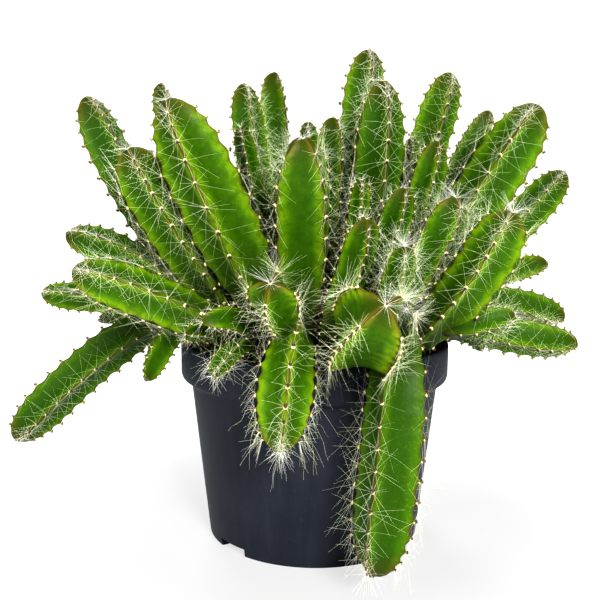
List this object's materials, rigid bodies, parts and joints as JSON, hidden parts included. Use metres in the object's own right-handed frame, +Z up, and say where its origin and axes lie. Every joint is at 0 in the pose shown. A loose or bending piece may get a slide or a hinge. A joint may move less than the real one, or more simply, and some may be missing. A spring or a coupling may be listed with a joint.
{
  "type": "potted dragon fruit cactus",
  "caption": "Young dragon fruit cactus with ribbed, spiny stems that stand, lean and hang over the rim of a round plastic nursery pot filled with soil.",
  "frame": {"origin": "centre of the pot's underside, on the ground", "axes": "+Z up along the pot's axis, -Y towards the side that the picture shows, +X to that view's right"},
  "size_m": [0.2794, 0.2283, 0.2249],
  "materials": {
    "pot_plastic": "matte",
    "soil": "matte",
    "cactus_green": "satin"
  },
  "bodies": {
    "root": {"pot": "pot_plastic", "soil": "soil", "stem_back_1": "cactus_green", "stem_back_2": "cactus_green", "stem_back_3": "cactus_green", "stem_back_4": "cactus_green", "stem_back_5": "cactus_green", "stem_back_6": "cactus_green", "stem_back_7": "cactus_green", "stem_back_8": "cactus_green", "stem_centre_1": "cactus_green", "stem_centre_2": "cactus_green", "stem_centre_3": "cactus_green", "stem_centre_4": "cactus_green", "stem_centre_5": "cactus_green", "stem_centre_6": "cactus_green", "stem_centre_7": "cactus_green", "stem_centre_8": "cactus_green", "stem_front_1": "cactus_green", "stem_front_2": "cactus_green", "stem_front_3": "cactus_green", "stem_front_4": "cactus_green", "stem_left_1": "cactus_green", "stem_left_2": "cactus_green", "stem_left_3": "cactus_green", "stem_left_4": "cactus_green", "stem_left_5": "cactus_green", "stem_left_6": "cactus_green", "stem_left_7": "cactus_green", "stem_left_8": "cactus_green", "stem_right_1": "cactus_green", "stem_right_2": "cactus_green", "stem_right_3": "cactus_green", "stem_right_4": "cactus_green", "stem_right_5": "cactus_green", "stem_right_6": "cactus_green", "stem_right_7": "cactus_green", "stem_right_8": "cactus_green", "stem_right_9": "cactus_green"}
  },
  "joints": []
}
